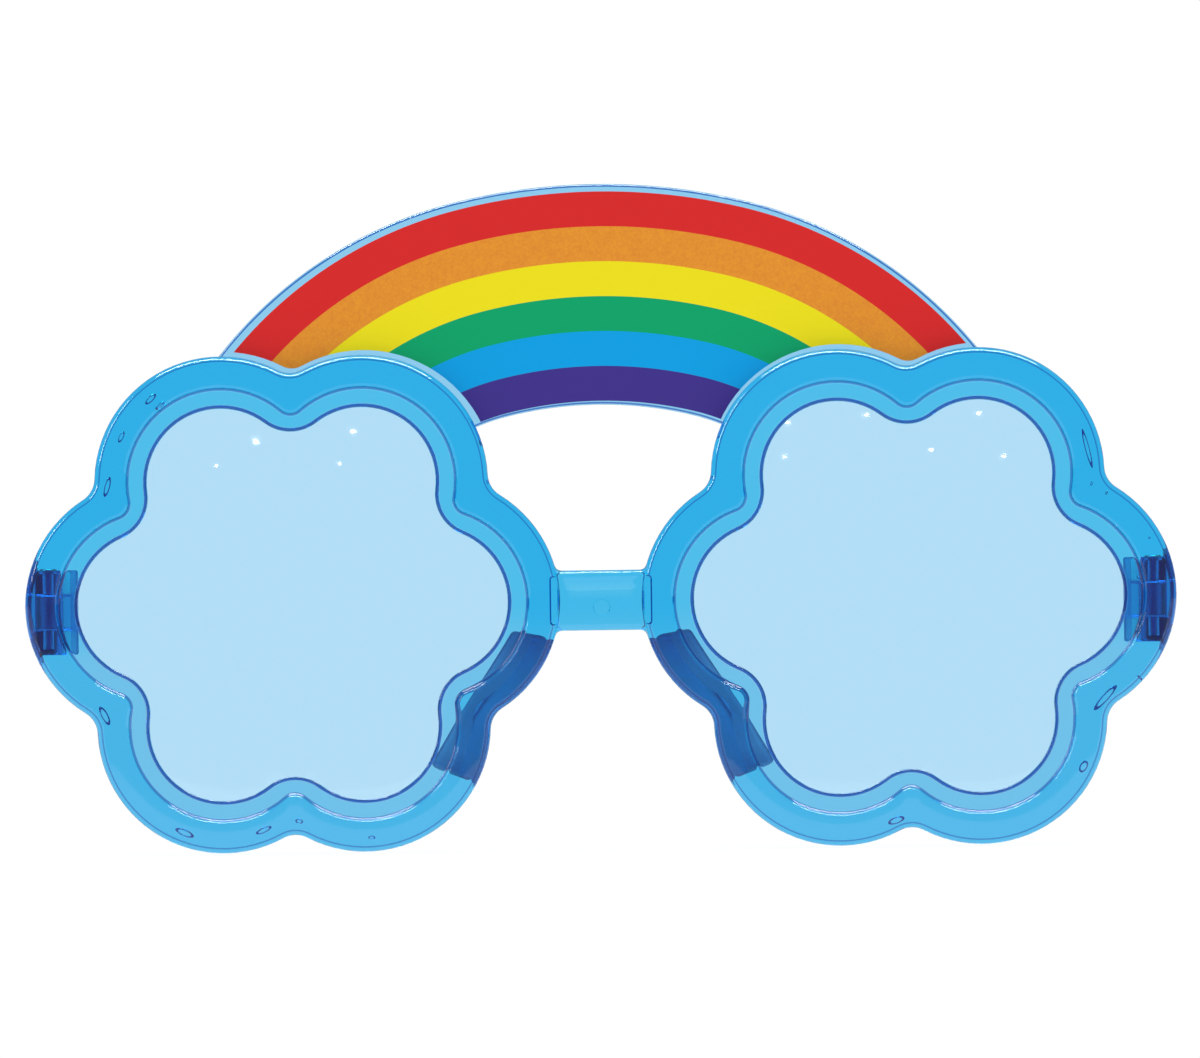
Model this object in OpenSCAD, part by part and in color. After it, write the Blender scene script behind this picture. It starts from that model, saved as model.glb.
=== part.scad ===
// Party glasses: two flower-shaped rims under a rainbow arch, with folding temples.
// Millimetres. +Z is up, the front looks along -Y, and the temples run back along +Y.
// The origin is on the ground, under the middle of the whole object. Left and right are the wearer's.

/* [Rims] */
// Distance between the centres of the two rims
rim_spacing = 86; // [83:0.5:100]
// Distance from a rim's centre to the centre of each of its six lobes
lobe_spread = 19.7; // [18:0.1:21]
// Radius of a lobe's outer edge
lobe_r = 17.6; // [17:0.1:18.8]
// Radius of the outer edge's hollow between two lobes
outer_hollow_r = 3.5; // [2:0.1:6]
// Width of the raised ring at a lobe
ring_w = 4.4; // [3.6:0.1:5]
// Radius of the ring's inner hollow between two lobes
ridge_hollow_r = 1.9; // [1.2:0.1:3]
// Width of the recessed flange at a lobe
flange_w = 2.9; // [2.4:0.1:3.4]
// Radius of the lens opening's hollow between two lobes
opening_hollow_r = 6; // [5:0.1:7]
// Thickness of the raised ring, front to back
ring_t = 4.8; // [4.4:0.1:7]
// Thickness of the flange, front to back
flange_t = 3; // [2.6:0.1:3.8]
// Bevel round the ring's outer front edge
ring_bevel = 0.8; // [0.2:0.1:1.2]
// Bevel round the ring's inner front edge
ridge_bevel = 0.5; // [0.2:0.1:0.9]

/* [Lenses] */
// Thickness of a lens
lens_t = 1; // [0.6:0.1:1.4]
// Width of the seat that a lens rests on, all round the opening
seat_w = 0.6; // [0.4:0.1:1.8]
// How far a lens lies inside the rear face of its rim
lens_recess = 0.2; // [0.1:0.1:0.5]
// Clearance round the edge of a lens
lens_clearance = 0.05; // [0.02:0.01:0.2]

/* [Bridge] */
// Height of the bridge bar
bridge_h = 8.4; // [5:0.1:12]
// Thickness of the bridge bar, front to back
bridge_t = 3.6; // [2.5:0.1:4.2]
// Bevel along the bridge bar's four long edges
bridge_bevel = 0.7; // [0.2:0.1:1.1]

/* [Rainbow plate] */
// Height of the arch's top above the rims' centres
arch_rise = 58.1; // [56:0.1:62]
// Radius of the outer edge over the middle of the arch
crown_r = 84.8; // [80:0.5:90]
// Radius of the outer edge at each side of the arch
shoulder_r = 60; // [57:0.5:64]
// Angle from the middle of the arch to where the shoulder radius begins
crown_angle = 13.8; // [10:0.2:18]
// Thickness of the plate, front to back
plate_t = 1.5; // [1:0.1:2.5]
// Bare plate outside the sticker's outer edge
plate_margin = 1.05; // [0.5:0.05:2]
// Bare plate inside the sticker's inner edge
plate_inner_margin = 0.55; // [0.3:0.05:2]

/* [Sticker] */
// Width of each colour stripe
stripe_w = 4.87; // [4.5:0.01:5.1]
// Thickness of the sticker's film
film_t = 0.15; // [0.08:0.01:0.4]
// Thickness of the printed colours
ink_t = 0.05; // [0.03:0.01:0.1]
// Bare plate between the sticker and the rims
sticker_gap = 1; // [0.7:0.1:1.6]
// How far the sticker was put on off centre, to the wearer's left
sticker_shift = 0.3; // [0:0.05:0.4]

/* [Nose pads] */
// Thickness of a nose pad
pad_t = 2; // [1.2:0.1:2.6]
// How far a nose pad stands out behind its rim
pad_depth = 7.5; // [4:0.1:8.5]
// How far the upper end of a nose pad's rear edge leans towards its lens
pad_flare = 5.3; // [4:0.1:6]
// How far the lower end of a nose pad's rear edge leans towards its lens
pad_low_flare = 6.5; // [4:0.1:7]
// Angle below level of a nose pad's upper end, from the rim's centre
pad_top_angle = 8; // [5:1:18]
// Angle below level of a nose pad's lower end, at the rim
pad_bottom_angle = 46; // [40:1:50]
// Angle below level of a nose pad's lower end, at its rear edge
pad_rear_angle = 50; // [42:1:54]

/* [Hinges] */
// Height of a hinge
hinge_h = 11.8; // [9:0.1:14]
// Width of a hinge, across the head
hinge_w = 3.6; // [3.4:0.1:5]
// How far a hinge's outer side lies inside the widest point of its rim
hinge_inset = 1.3; // [1.1:0.1:2]
// How far the hinges' middle lies below the rims' centres
hinge_drop = 0.8; // [-2:0.1:3]
// Distance from the rear face of the rim to the hinge's axis
hinge_reach = 9; // [8.8:0.1:12]
// Thickness of the foot that spreads from a hinge to the edge of the lens opening
foot_t = 3; // [1.5:0.1:4]
// How far the rib on a foot's middle stands out behind the rim
rib_reach = 6; // [4:0.1:6.4]
// Step from the rim's outline in to the heel that fills out a hinge's outer side
heel_inset = 0.5; // [0.3:0.1:1.2]
// How far the heel stands out behind the rim
heel_reach = 6.5; // [4:0.1:6.8]
// Height of the temple's tongue between the two ears
tongue_h = 4.7; // [3:0.1:6]
// Clearance above, below and around the tongue
tongue_clearance = 0.1; // [0.05:0.01:0.3]

/* [Hinge screws] */
// Radius of a screw's shank
screw_r = 0.7; // [0.5:0.05:1]
// Running clearance between the shank and the temple's tongue
screw_clearance = 0.05; // [0.02:0.01:0.1]
// Radius of a screw's head
head_r = 1.15; // [1:0.05:1.4]
// Height of a screw's head
head_h = 0.7; // [0.5:0.05:1]
// Depth of the pocket that the head sits in
head_pocket = 0.5; // [0.3:0.05:0.9]
// Plastic left below a screw's point
screw_floor = 0.8; // [0.5:0.1:1.5]
// Width and depth of the slot across a head
slot_w = 0.35; // [0.2:0.05:0.5]

/* [Temples] */
// Thickness of a temple
temple_t = 3.2; // [2:0.1:3.6]
// Distance from the hinge's axis to a temple's end
temple_length = 134; // [115:1:140]
// Distance from the hinge's axis to a temple's waist, over the ear
waist_at = 92; // [75:1:100]
// Height of a temple at its waist
waist_h = 7.4; // [5:0.1:9]
// Radius of a temple's round tip
tip_r = 4.8; // [3.5:0.1:6]
// How far the tip's middle lies below the hinge's middle
tip_drop = 1; // [0:0.1:3]

/* [Hidden] */
$fn = 96;

// Numbers that shape the construction and are not sizes of their own
lobes = 6;
stripes = 6;
half_step = 180 / lobes;
overcut = 1;
weld = 0.6;
crossing = 0.002;
pad_stations = 18;
pad_layers = 5;
pad_end_round = 0.9;

// Rims
rim_x = rim_spacing / 2;
ridge_r = lobe_r - ring_w;
opening_r = ridge_r - flange_w;
seat_r = opening_r + seat_w;
seat_hollow_r = opening_hollow_r - seat_w;
seat_depth = lens_recess + lens_t;
rim_drop = lobe_spread * cos(half_step) + lobe_r;
rim_side = lobe_spread + lobe_r;

// Rainbow plate
plate_w = plate_margin + stripes * stripe_w + plate_inner_margin;
crown_z = arch_rise - crown_r;
shoulder_x = (crown_r - shoulder_r) * sin(crown_angle);
shoulder_z = crown_z + (crown_r - shoulder_r) * cos(crown_angle);
beyond = 2 * crown_r;

// Hinges and temples
ear_r = hinge_w / 2;
pivot_x = rim_x + rim_side - hinge_inset - ear_r;
slot_h = tongue_h + 2 * tongue_clearance;
tongue_r = ear_r - tongue_clearance;
shoulder_y = ear_r + tongue_clearance;
arm_x = ear_r - temple_t;
seat_edge = rim_x + lobe_spread + seat_r + weld - pivot_x;
opening_edge = rim_x + lobe_spread + opening_r - pivot_x;
head_hole_r = head_r + tongue_clearance;
hinge_z = rim_drop - hinge_drop;

// The origin lies under the middle of the whole depth, from the rings' fronts to the temples' ends
depth = ring_t + hinge_reach + temple_length;
rear_y = ring_t - depth / 2;

function polar(r, a) = [r * cos(a), r * sin(a)];

// Distance from a rim's centre to the centre of a hollow that runs smoothly into two lobes. The circles
// cross by a hair, because circles that only touch leave no clean corner between them.
function hollow_reach(r, hollow) = lobe_spread * cos(half_step)
    + sqrt(pow(r + hollow - crossing, 2) - pow(lobe_spread * sin(half_step), 2));

// Distance from a rim's centre to a rosette's outline, at an angle from level
function outline_at(angle, r, hollow) =
    let (turn = abs((angle + half_step) % (2 * half_step) - half_step),
         reach = hollow_reach(r, hollow),
         share = r / (r + hollow),
         meet = atan2(reach * sin(half_step) * share,
             lobe_spread + (reach * cos(half_step) - lobe_spread) * share))
    turn < meet
        ? lobe_spread * cos(turn) + sqrt(pow(r, 2) - pow(lobe_spread * sin(turn), 2))
        : reach * cos(half_step - turn) - sqrt(pow(hollow, 2) - pow(reach * sin(half_step - turn), 2));

// The straight-sided core of a rosette, from lobe centre to hollow centre and on round
module rosette_core(reach) {
    polygon([for (i = [0 : lobes - 1]) each [
        polar(lobe_spread, 2 * i * half_step),
        polar(reach, (2 * i + 1) * half_step)]]);
}

module around(turn = 0) {
    for (i = [0 : lobes - 1]) rotate(2 * i * half_step + turn) children();
}

// Six lobes, joined by tangent hollows
module rosette(r, hollow) {
    reach = hollow_reach(r, hollow);
    difference() {
        union() {
            around() translate([lobe_spread, 0]) circle(r);
            rosette_core(reach);
        }
        around(half_step) translate([reach, 0]) circle(hollow);
    }
}

// A rosette whose outline moves in by inset over its height, or out where inset is negative
module bevelled_rosette(r, hollow, inset) {
    reach = hollow_reach(r, hollow);
    height = abs(inset);
    difference() {
        union() {
            around() translate([lobe_spread, 0, 0]) cylinder(h = height, r1 = r, r2 = r - inset);
            linear_extrude(height) rosette_core(reach);
        }
        around(half_step) translate([reach, 0, 0]) cylinder(h = height, r1 = hollow, r2 = hollow + inset);
    }
}

// Outlines are drawn as seen from the front, and grow towards the front from the rims' rear face
module from_rear_face() {
    translate([0, rear_y, rim_drop]) rotate([90, 0, 0]) children();
}

// What is drawn for the wearer's left, and its mirror image
module on_side(side) {
    mirror([side < 0 ? 1 : 0, 0, 0]) children();
}

// A raised ring with a recessed flange inside it, and a seat for the lens behind the flange
module rim() {
    difference() {
        union() {
            linear_extrude(ring_t - ring_bevel) rosette(lobe_r, outer_hollow_r);
            translate([0, 0, ring_t - ring_bevel]) bevelled_rosette(lobe_r, outer_hollow_r, ring_bevel);
        }
        translate([0, 0, flange_t]) linear_extrude(ring_t) rosette(ridge_r, ridge_hollow_r);
        translate([0, 0, ring_t - ridge_bevel]) bevelled_rosette(ridge_r, ridge_hollow_r, -ridge_bevel);
        linear_extrude(ring_t) rosette(opening_r, opening_hollow_r);
        linear_extrude(seat_depth) rosette(seat_r, seat_hollow_r);
    }
}

module bridge() {
    length = rim_spacing - 2 * rim_side + 4 * weld;
    low = (ring_t - bridge_t) / 2;
    high = low + bridge_t;
    half = bridge_h / 2;
    rotate([0, 90, 0]) linear_extrude(length, center = true) polygon([
        [-low - bridge_bevel, half], [-low, half - bridge_bevel],
        [-low, bridge_bevel - half], [-low - bridge_bevel, -half],
        [bridge_bevel - high, -half], [-high, bridge_bevel - half],
        [-high, half - bridge_bevel], [bridge_bevel - high, half]]);
}

// Everything under an arch that lies inset inside the plate's outer edge, from the rims' centres up.
// The shoulders' circles run smoothly into the crown's, and cross it by a hair as the rims' circles do.
module arch_area(inset) {
    joint = [beyond * sin(crown_angle), crown_z + beyond * cos(crown_angle)];
    intersection() {
        translate([-beyond, 0]) square([2 * beyond, beyond]);
        union() {
            intersection() {
                translate([0, crown_z]) circle(crown_r - inset, $fn = 360);
                polygon([[0, crown_z], joint, [-joint[0], joint[1]]]);
            }
            for (side = [-1, 1]) translate([side * shoulder_x, shoulder_z])
                circle(shoulder_r - inset + crossing, $fn = 360);
        }
    }
}

module arch_band(outer_inset, inner_inset) {
    difference() {
        arch_area(outer_inset);
        arch_area(inner_inset);
    }
}

// Both rims' outlines, grown by a gap
module both_rims(gap) {
    for (side = [-1, 1]) translate([side * rim_x, 0]) rosette(lobe_r + gap, outer_hollow_r - gap);
}

module rainbow_plate() {
    linear_extrude(plate_t) difference() {
        arch_band(0, plate_w);
        both_rims(-weld);
    }
}

// A nose pad follows the rim's outline in front, and its rear edge is straight
function pad_front(t) =
    let (angle = pad_top_angle + (pad_bottom_angle - pad_top_angle) * t)
    polar(outline_at(angle, lobe_r, outer_hollow_r) - weld - pad_t / 2, -angle);
function pad_rear_end(angle, flare) = polar(outline_at(angle, lobe_r, outer_hollow_r) - flare, -angle);
function pad_rear(t) = pad_rear_end(pad_top_angle, pad_flare) * (1 - t)
    + pad_rear_end(pad_rear_angle, pad_low_flare) * t;
function unit(v) = v / norm(v);
function pad_across(p, q) = let (v = unit(q - p)) [v[1], -v[0]];
function pad_middle(t, share) = pad_front(t) * (1 - share) + pad_rear(t) * share;
function pad_side(t, share) =
    let (step = 0.01, low = max(t - step, 0), high = min(t + step, 1))
    pad_across(pad_middle(low, share), pad_middle(high, share)) * pad_t / 2;

// One layer of the pad: down its nose side and back up its lens side
function pad_loop(layer) =
    let (share = layer / (pad_layers - 1),
         y = -weld + (pad_depth + weld) * share,
         trim = layer == pad_layers - 1 ? pad_end_round / norm(pad_rear(1) - pad_rear(0)) : 0)
    [for (side = [-1, 1]) for (i = [0 : pad_stations])
        let (down = side < 0 ? i : pad_stations - i,
             t = trim + (1 - 2 * trim) * down / pad_stations,
             p = pad_middle(t, share) + side * pad_side(t, share))
        [rim_x - p[0], y, p[1]]];

module nose_pad() {
    loop = 2 * (pad_stations + 1);
    last = (pad_layers - 1) * loop;
    polyhedron(
        points = [for (layer = [0 : pad_layers - 1]) each pad_loop(layer)],
        faces = concat(
            [for (layer = [0 : pad_layers - 2], i = [0 : loop - 1], half = [0, 1])
                let (a = layer * loop + i, b = layer * loop + (i + 1) % loop)
                half == 0 ? [a, b, b + loop] : [a, b + loop, a + loop]],
            [for (i = [0 : pad_stations - 1], half = [0, 1])
                half == 0 ? [i, loop - 1 - i, i + 1] : [i + 1, loop - 1 - i, loop - 2 - i]],
            [for (i = [0 : pad_stations - 1], half = [0, 1])
                half == 0 ? [last + i, last + i + 1, last + loop - 1 - i]
                    : [last + i + 1, last + loop - 2 - i, last + loop - 1 - i]]));
}

// The ears' outline from above: round towards the folded temple, square where the open one stops. The foot
// runs on behind the lens's edge, and helps to hold it.
module lug_plan() {
    translate([-ear_r, 0]) square([hinge_w, hinge_reach]);
    translate([seat_edge, -weld]) square([ear_r - seat_edge, 2 * weld]);
    translate([opening_edge, 0]) square([ear_r - opening_edge, foot_t]);
    translate([0, hinge_reach]) circle(ear_r);
    translate([0, hinge_reach]) square([ear_r, ear_r]);
}

// The heel follows the rim's outline behind the ring
module hinge_heel() {
    intersection() {
        translate([rim_x - pivot_x, -weld, hinge_drop]) rotate([-90, 0, 0])
            linear_extrude(weld + heel_reach) rosette(lobe_r - heel_inset, outer_hollow_r + heel_inset);
        translate([0, -overcut, -hinge_h / 2]) cube([rim_side, 2 * overcut + heel_reach, hinge_h]);
    }
}

module hinge_lug() {
    translate([pivot_x, 0, -hinge_drop]) difference() {
        union() {
            translate([0, 0, -hinge_h / 2]) linear_extrude(hinge_h) lug_plan();
            translate([opening_edge, 0, -tongue_h / 2]) cube([-opening_edge, rib_reach, tongue_h]);
            hinge_heel();
        }
        translate([-hinge_w, hinge_reach - ear_r - tongue_clearance, -slot_h / 2])
            cube([2 * hinge_w, hinge_w + overcut, slot_h]);
        translate([0, hinge_reach, 0]) {
            cylinder(h = hinge_h, r = screw_r + screw_clearance);
            translate([0, 0, screw_floor - hinge_h / 2]) cylinder(h = hinge_h / 2, r = screw_r);
            translate([0, 0, hinge_h / 2 - head_pocket]) cylinder(h = overcut + head_pocket, r = head_hole_r);
        }
    }
}

module front_frame() {
    color([0.18, 0.66, 0.9, 0.75]) union() {
        from_rear_face() {
            for (side = [-1, 1]) translate([side * rim_x, 0, 0]) rim();
            bridge();
            rainbow_plate();
        }
        translate([0, rear_y, rim_drop]) for (side = [-1, 1]) on_side(side) {
            nose_pad();
            hinge_lug();
        }
    }
}

module lens(side) {
    color([0.7, 0.87, 0.96, 0.5]) from_rear_face() translate([side * rim_x, 0, lens_recess])
        linear_extrude(lens_t) rosette(seat_r - lens_clearance, seat_hollow_r + lens_clearance);
}

// The sticker's own outline, cut to follow the rims
module sticker_outline(outer_inset, inner_inset) {
    translate([sticker_shift, 0]) difference() {
        arch_band(outer_inset, inner_inset);
        both_rims(sticker_gap);
    }
}

module sticker_film() {
    color("white") from_rear_face() translate([0, 0, plate_t])
        linear_extrude(film_t) sticker_outline(plate_margin, plate_margin + stripes * stripe_w);
}

module stripe(index, paint) {
    color(paint) from_rear_face() translate([0, 0, plate_t + film_t]) linear_extrude(ink_t)
        sticker_outline(plate_margin + index * stripe_w, plate_margin + (index + 1) * stripe_w);
}

// The temple's outline from the side, with the hinge's axis at the origin
module temple_side() {
    tip = [temple_length - tip_r, -tip_drop];
    polygon([[shoulder_y, -hinge_h / 2], [waist_at, -waist_h / 2], tip - [0, tip_r],
        tip + [0, tip_r], [waist_at, waist_h / 2], [shoulder_y, hinge_h / 2]]);
    translate(tip) circle(tip_r);
}

module temple(side) {
    color([0.18, 0.66, 0.9, 0.75]) on_side(side) translate([pivot_x, rear_y + hinge_reach, hinge_z])
        difference() {
            union() {
                translate([0, 0, -tongue_h / 2]) {
                    cylinder(h = tongue_h, r = tongue_r);
                    translate([arm_x, 0, 0]) cube([temple_t - tongue_clearance, shoulder_y + weld, tongue_h]);
                }
                translate([arm_x, 0, 0]) rotate([90, 0, 90]) linear_extrude(temple_t) temple_side();
            }
            cylinder(h = hinge_h, r = screw_r + screw_clearance, center = true);
        }
}

module hinge_screw(side) {
    top = hinge_h / 2 - head_pocket;
    color("silver") on_side(side) translate([pivot_x, rear_y + hinge_reach, hinge_z]) difference() {
        union() {
            translate([0, 0, screw_floor - hinge_h / 2])
                cylinder(h = top + hinge_h / 2 - screw_floor, r = screw_r);
            translate([0, 0, top]) cylinder(h = head_h, r = head_r);
        }
        translate([-head_r - overcut, -slot_w / 2, top + head_h - slot_w])
            cube([2 * (head_r + overcut), slot_w, slot_w + overcut]);
    }
}

front_frame();
lens(1);  // left_lens
lens(-1);  // right_lens
sticker_film();
stripe(0, "crimson");  // red_stripe
stripe(1, "darkorange");  // orange_stripe
stripe(2, "gold");  // yellow_stripe
stripe(3, "seagreen");  // green_stripe
stripe(4, "deepskyblue");  // blue_stripe
stripe(5, "darkslateblue");  // violet_stripe
temple(1);  // left_temple
temple(-1);  // right_temple
hinge_screw(1);  // left_hinge_screw
hinge_screw(-1);  // right_hinge_screw
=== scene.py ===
import bpy
import bmesh
import math
from mathutils import Matrix, Vector


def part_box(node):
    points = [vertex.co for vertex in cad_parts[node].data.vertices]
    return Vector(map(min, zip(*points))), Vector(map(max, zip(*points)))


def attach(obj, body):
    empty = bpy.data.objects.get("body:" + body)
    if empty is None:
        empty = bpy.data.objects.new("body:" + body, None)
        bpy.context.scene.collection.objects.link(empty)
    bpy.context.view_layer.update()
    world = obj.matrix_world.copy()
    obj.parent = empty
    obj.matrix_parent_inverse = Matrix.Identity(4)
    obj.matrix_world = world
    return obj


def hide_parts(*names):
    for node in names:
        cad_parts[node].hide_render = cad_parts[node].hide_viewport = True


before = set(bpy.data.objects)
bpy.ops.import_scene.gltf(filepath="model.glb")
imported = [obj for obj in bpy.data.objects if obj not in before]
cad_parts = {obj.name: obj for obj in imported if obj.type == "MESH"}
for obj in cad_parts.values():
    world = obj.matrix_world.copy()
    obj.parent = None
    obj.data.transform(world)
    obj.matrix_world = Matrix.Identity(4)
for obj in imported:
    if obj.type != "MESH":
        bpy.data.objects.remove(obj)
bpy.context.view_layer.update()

# Party glasses. Pieces are drawn in millimetres as the front is seen: x to the wearer's left, z up from the
# rims' centres, and y back from the rims' rear face. toFrame() then puts them where the frame has them.
millimetre = 0.001
lensLow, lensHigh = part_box("left_lens")
plasticGap = 0.03  # air between plastic faces that only touch, so that no two faces coincide
cutterReach = 1.0  # how far cutters stand out of what they cut
# Points closer than weldBelow merge and edges shorter than collapseBelow go. Edges that turn by fewer degrees
# than smoothBelow shade smoothly, and those that turn by more than roundAbove get rounded.
meshing = {"weldBelow": 0.002, "collapseBelow": 0.0005, "smoothBelow": 40, "roundAbove": 59, "flatWeight": 80}

# The two cloud-shaped rims, in mm
rim = {
    "halfSpacing": (lensLow.x + lensHigh.x) / 2 / millimetre,
    "lobes": 6,
    "lobeSpread": 19.7,
    "outer": (17.6, 3.5),  # radius of the lobes, and of the hollows between them
    "ridge": (13.2, 1.9),
    "opening": (10.3, 6.0),
    "seatWidth": 0.6,
    "seatLine": 0.5,  # how much of the seat the painted dark line covers
    "ringDepth": 4.8,
    "flangeDepth": 3.0,
    "seatDepth": 1.2,
    "outerRound": 1.0,
    "rearRound": 0.45,
    "ridgeRound": 0.45,
    "ridgeFoot": 0.5,
    "openingRound": 0.25,
    "lobeSteps": 26,
    "hollowSteps": 12,
    "roundSteps": 5,
    "outerSteps": 7,
    "outerLineStep": 5,  # the step of the outer rounding that holds the painted dark line
    "ridgeLineSteps": 4,  # how many steps of the ridge's foot hold a painted dark line
}
# Painted shade: how strongly the moulding's edges are painted a deep blue, standing in for light that runs
# along an edge, from 0 to 1
edgeTint = {"outerLine": 0.8, "ridgeLine": 0.88, "openingEdge": 0.6, "seat": 1.0, "plateLine": 1.0,
            "bubbleEdge": 1.0}
lensRecess = 0.2
rearY = lensHigh.y / millimetre + lensRecess
rimZ = (lensLow.z + lensHigh.z) / 2 / millimetre


def polar(radius, degrees):
    angle = math.radians(degrees)
    return Vector((radius * math.cos(angle), 0, radius * math.sin(angle)))


def atDepth(point, depth):
    return Vector((point.x, -depth, point.z))


def toFrame(bm):
    bmesh.ops.translate(bm, verts=bm.verts, vec=(0, rearY, rimZ))
    bmesh.ops.scale(bm, verts=bm.verts, vec=(millimetre,) * 3)


def finishMesh(bm, name):
    # Faces point outwards, round parts shade smoothly and flat ones stay flat
    bmesh.ops.remove_doubles(bm, verts=bm.verts, dist=meshing["weldBelow"])
    bmesh.ops.recalc_face_normals(bm, faces=bm.faces)
    for face in bm.faces:
        face.smooth = True
    mesh = bpy.data.meshes.new(name)
    bm.to_mesh(mesh)
    bm.free()
    mesh.set_sharp_from_angle(angle=math.radians(meshing["smoothBelow"]))
    piece = bpy.data.objects.new(name, mesh)
    bpy.context.scene.collection.objects.link(piece)
    return piece


def applyModifiers(piece):
    bpy.context.view_layer.update()
    evaluated = piece.evaluated_get(bpy.context.evaluated_depsgraph_get())
    mesh = bpy.data.meshes.new_from_object(evaluated)
    piece.modifiers.clear()
    piece.data = mesh


def combine(piece, tools, operation):
    # Joins tools to the piece, or cuts them out of it, as true solids
    for tool in tools:
        modifier = piece.modifiers.new("combine", "BOOLEAN")
        modifier.operation = operation
        modifier.solver = "EXACT"
        modifier.object = tool
    applyModifiers(piece)
    for tool in tools:
        bpy.data.objects.remove(tool)
    return piece


def giveFaces(piece, **shares):
    # Marks all faces of a piece, for its material to read
    for name, share in shares.items():
        marks = piece.data.attributes.get(name) or piece.data.attributes.new(name, "FLOAT", "FACE")
        for mark in marks.data:
            mark.value = share


def spinRound(bm, parts, centre, turn, steps):
    # Spins parts about a centre, counter-clockwise as seen from the front where turn is positive
    made = bmesh.ops.spin(bm, geom=parts, cent=centre, axis=(0, -1, 0), angle=math.radians(turn),
                          steps=steps)
    return made["geom_last"]


def vertsOf(parts):
    return [part for part in parts if isinstance(part, bmesh.types.BMVert)]


def arcTo(bm, vert, centre, turn, steps):
    # Spins one vertex, and gives the last one made
    return vertsOf(spinRound(bm, [vert], centre, turn, steps))[0]


def drawOut(bm, outline, move):
    # Fills an outline, draws it out to a block, and gives the vertices that moved
    base = bm.faces.new([bm.verts.new(corner) for corner in outline])
    moved = vertsOf(bmesh.ops.extrude_face_region(bm, geom=[base])["geom"])
    bmesh.ops.translate(bm, verts=moved, vec=move)
    return moved


def roundCorners(bm, verts, radius, segments):
    bmesh.ops.bevel(bm, geom=verts, offset=radius, segments=segments, profile=0.5, affect="VERTICES",
                    material=-1)


def connectedEdges(vert):
    found, waiting = set(), [vert]
    while waiting:
        for edge in waiting.pop().link_edges:
            if edge not in found:
                found.add(edge)
                waiting.extend(edge.verts)
    return list(found)


def addDrawn(bm, drawn):
    # Adds a finished drawing to a larger mesh, and gives its edges there
    known = len(bm.edges)
    mesh = bpy.data.meshes.new("drawn")
    drawn.to_mesh(mesh)
    drawn.free()
    bm.from_mesh(mesh)
    bpy.data.meshes.remove(mesh)
    bm.edges.ensure_lookup_table()
    return bm.edges[known:]


def hollowReach(lobeRadius, hollowRadius):
    half = math.radians(180 / rim["lobes"])
    return rim["lobeSpread"] * math.cos(half) + math.sqrt(
        (lobeRadius + hollowRadius) ** 2 - (rim["lobeSpread"] * math.sin(half)) ** 2)


def rosetteLoop(bm, radii, grow, depth, centreX):
    # Six lobes joined by tangent hollows, as one closed loop of edges
    lobeRadius, hollowRadius = radii[0] + grow, radii[1] - grow
    step = 360 / rim["lobes"]
    reach = hollowReach(lobeRadius, hollowRadius)
    firstLobe = polar(rim["lobeSpread"], 0)
    toHollow = polar(reach, step / 2) - firstLobe
    half = math.degrees(math.atan2(toHollow.z, toHollow.x))
    middle = Vector((centreX, 0, 0))
    drawn = bmesh.new()  # spins are quick in a mesh of their own
    first = drawn.verts.new(atDepth(middle + (firstLobe + polar(lobeRadius, -half)), depth))
    vert = first
    for lobe in range(rim["lobes"]):
        centre = atDepth(middle + polar(rim["lobeSpread"], lobe * step), depth)
        vert = arcTo(drawn, vert, centre, 2 * half, rim["lobeSteps"])
        centre = atDepth(middle + polar(reach, (lobe + 0.5) * step), depth)
        vert = arcTo(drawn, vert, centre, step - 2 * half, rim["hollowSteps"])
    bmesh.ops.weld_verts(drawn, targetmap={vert: first})
    return addDrawn(bm, drawn)


def quarterRound(radius, steps):
    # Offsets along the two faces of a rounded edge, from the first face to the second
    for i in range(steps + 1):
        angle = math.radians(90 * i / steps)
        yield radius * (1 - math.sin(angle)), radius * (1 - math.cos(angle))


def rimProfile():
    # Once round the section of a rim: which outline, how far it has grown, the depth from the rear face, and
    # how strongly painted shade darkens the band that starts there
    steps, profile = rim["roundSteps"], []
    for along, inward in quarterRound(rim["rearRound"], steps):
        profile.append(("outer", -along, inward, 0))
    for i, (inward, along) in enumerate(quarterRound(rim["outerRound"], rim["outerSteps"])):
        tintAndPaintedShade = edgeTint["outerLine"] if i == rim["outerLineStep"] else 0
        profile.append(("outer", -along, rim["ringDepth"] - inward, tintAndPaintedShade))
    for along, down in quarterRound(rim["ridgeRound"], steps):
        profile.append(("ridge", along, rim["ringDepth"] - down, 0))
    for i, (up, along) in enumerate(quarterRound(rim["ridgeFoot"], steps)):
        tintAndPaintedShade = edgeTint["ridgeLine"] if i < rim["ridgeLineSteps"] else 0
        profile.append(("ridge", -along, rim["flangeDepth"] + up, tintAndPaintedShade))
    for along, down in quarterRound(rim["openingRound"], steps):
        profile.append(("opening", along, rim["flangeDepth"] - down, edgeTint["openingEdge"]))
    profile.append(("opening", 0, rim["seatDepth"], edgeTint["seat"]))
    profile.append(("opening", rim["seatLine"], rim["seatDepth"], 0))
    profile.append(("opening", rim["seatWidth"], rim["seatDepth"], 0))
    profile.append(("opening", rim["seatWidth"], 0, 0))
    return profile


def sweepProfile(bm, profile, centreX, closed=True):
    # One band of faces from each point of the section to the next, each bridged in a mesh of its own
    for start, end in zip(profile, profile[1:] + (profile[:1] if closed else [])):
        band = bmesh.new()
        loops = [rosetteLoop(band, rim[outline], grow, depth, centreX)
                 for outline, grow, depth, _ in (start, end)]
        bmesh.ops.bridge_loops(band, edges=loops[0] + loops[1])
        # Each band carries its share of painted shade, for the material to read
        layer = band.faces.layers.float.new("edgeTint")
        for face in band.faces:
            face[layer] = start[3]
        addDrawn(bm, band)
    if not closed:
        for outline, grow, depth, _ in (profile[0], profile[-1]):
            cap = bmesh.new()
            bmesh.ops.contextual_create(cap, geom=rosetteLoop(cap, rim[outline], grow, depth, centreX))
            addDrawn(bm, cap)


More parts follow.
